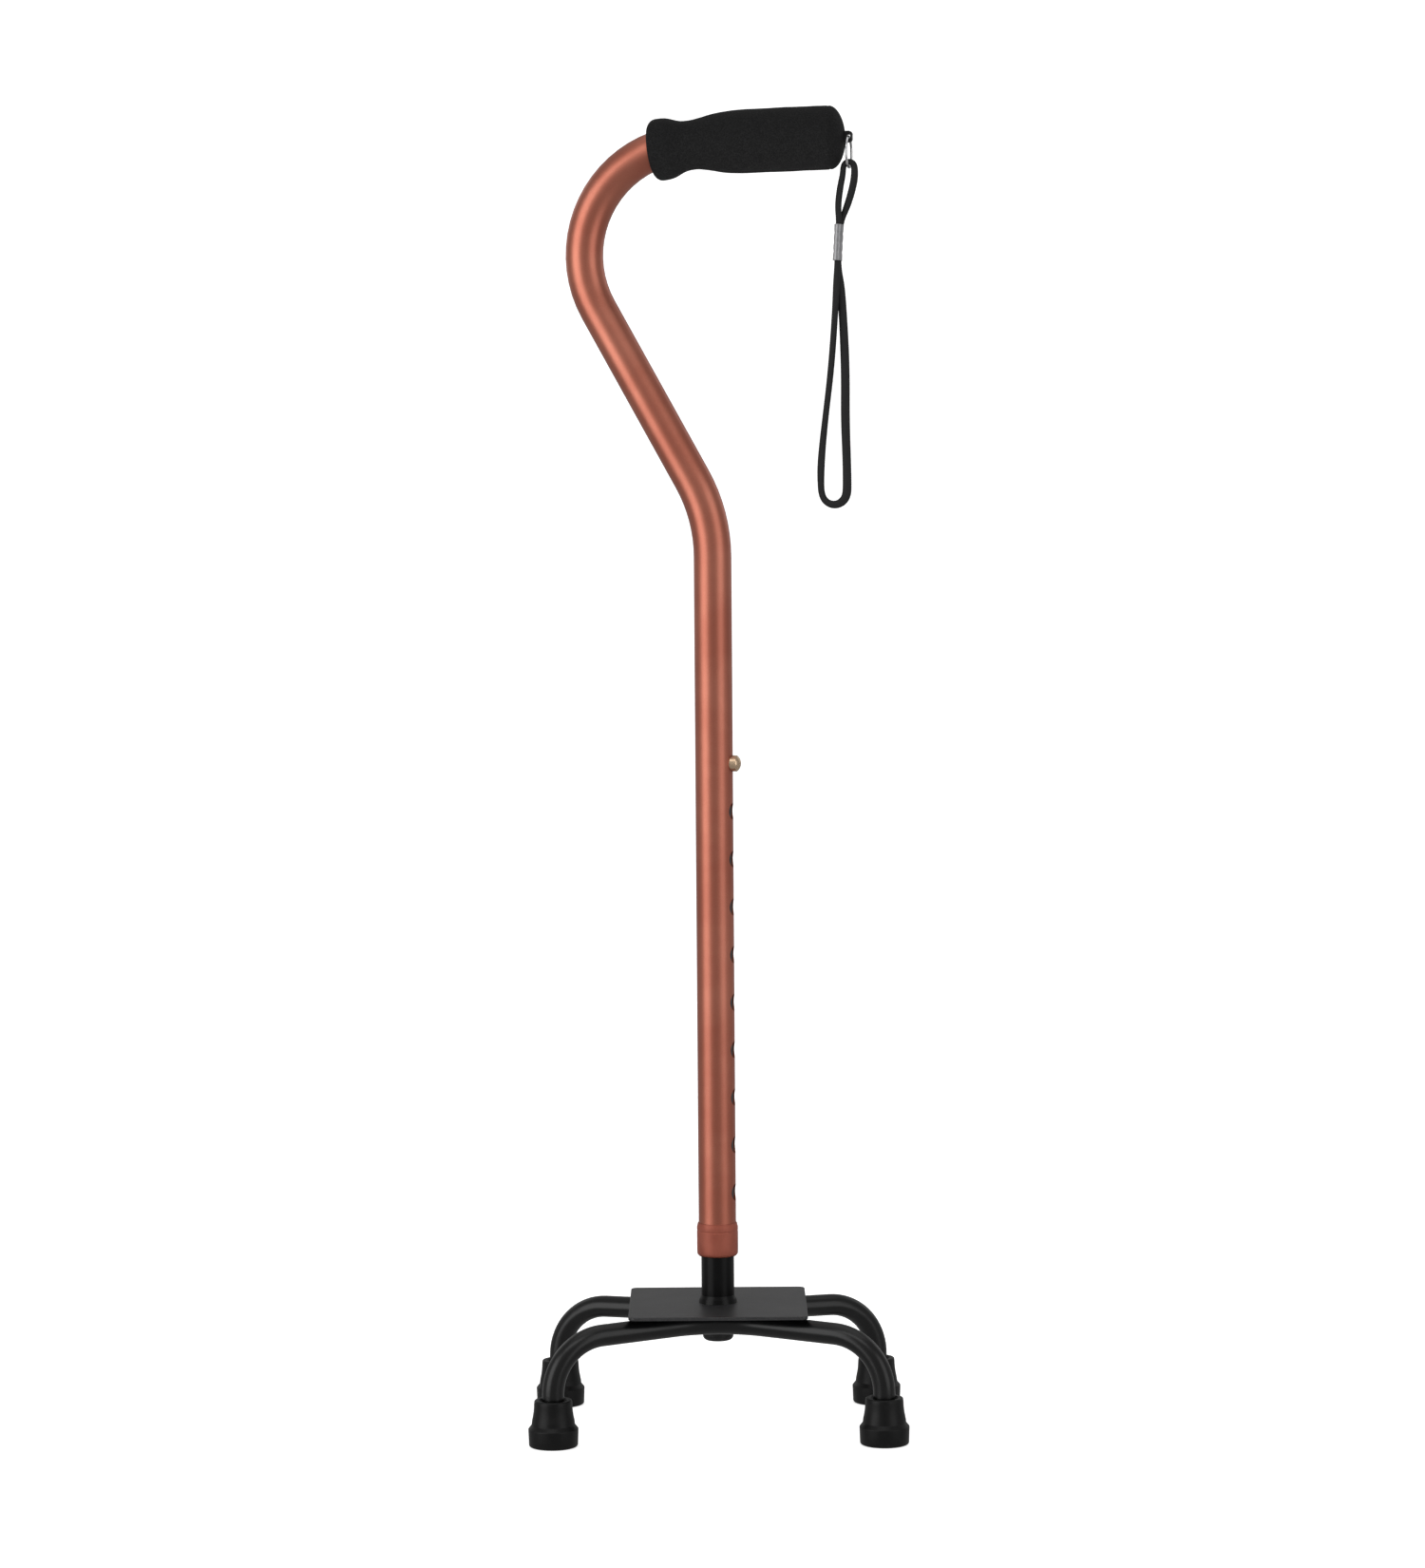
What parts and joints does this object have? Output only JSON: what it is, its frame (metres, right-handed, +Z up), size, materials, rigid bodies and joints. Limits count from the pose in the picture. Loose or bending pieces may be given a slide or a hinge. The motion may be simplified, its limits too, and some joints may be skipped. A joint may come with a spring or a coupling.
{
  "type": "quad walking cane",
  "caption": "Height-adjustable walking cane on a small four-footed base, with an offset foam handle and a wrist strap.",
  "frame": {"origin": "on the floor under the post's axis, at the middle of the four feet", "axes": "+Z up along the shaft, +X towards the free end of the handle (the handle is turned 12 degrees about Z, towards -Y), +Y towards the rear feet"},
  "size_m": [0.2196, 0.149, 0.7694],
  "materials": {
    "plate_grey": "satin dark grey powder coat",
    "black_steel": "satin black powder coat",
    "zinc_steel": "zinc plated",
    "black_plastic": "moulded, matt",
    "nylon": "natural nylon",
    "spring_steel": "rolled strip",
    "brass": "turned, satin",
    "copper_red_tube": "satin copper-red anodised",
    "foam": "closed-cell foam, matt",
    "red_plastic": "moulded, satin, darker than the tube",
    "bright_wire": "bright wire",
    "crimped_sleeve": "satin, crimped",
    "braided_cord": "braided",
    "rubber": "moulded, matt"
  },
  "bodies": {
    "base": {"base_plate": "plate_grey", "front_leg_tube": "black_steel", "rear_leg_tube": "black_steel", "tip_front_left": "rubber", "tip_front_right": "rubber", "tip_rear_left": "rubber", "tip_rear_right": "rubber", "tip_washers": "zinc_steel", "weld_beads": "black_steel", "post": "black_steel", "post_flare": "black_steel", "post_end_cap": "black_plastic", "post_top_plug": "nylon", "button_spring": "spring_steel"},
    "shaft": {"upper_tube": "copper_red_tube", "foam_grip": "foam", "handle_end_plug": "nylon", "strap_eyelet": "black_plastic"},
    "button": {"snap_button": "brass"},
    "collar_ring": {"compression_ring": "nylon"},
    "collar": {"locking_collar": "red_plastic"},
    "ring": {"strap_ring": "bright_wire"},
    "strap": {"strap_ferrule": "crimped_sleeve", "wrist_strap": "braided_cord"}
  },
  "joints": [
    {"name": "height_adjust", "type": "slide", "parent": "base", "child": "shaft", "axis": [0, 0, 1], "range_m": [0, 0.252], "deforming": ["button_spring", "snap_button"]},
    {"name": "button_press", "type": "slide", "parent": "base", "child": "button", "axis": [-0.9781, 0.2079, 0], "range_m": [0, 0.0063], "stiffness_N_per_m": 1500, "springref_m": -0.002, "deforming": ["button_spring"]},
    {"name": "ring_travel", "type": "slide", "parent": "shaft", "child": "collar_ring", "axis": [0, 0, -1], "range_m": [0, 0.00201]},
    {"name": "collar_turn", "type": "hinge", "parent": "collar_ring", "child": "collar", "pos_m": [0, 0, 0.11], "axis": [0, 0, -1], "range_deg": [0, 360]},
    {"name": "ring_swing", "type": "hinge", "parent": "shaft", "child": "ring", "pos_m": [0.08011, -0.01703, 0.75094], "axis": [0.2079, 0.9781, 0], "range_deg": [-60, 0]},
    {"name": "strap_swing", "type": "hinge", "parent": "ring", "child": "strap", "pos_m": [0.08011, -0.01703, 0.73334], "axis": [0.2079, 0.9781, 0], "range_deg": [-45, 16]}
  ],
  "couplings": [
    {"joint": "ring_travel", "follows": "collar_turn", "m_per_rad": 0.00031831}
  ]
}
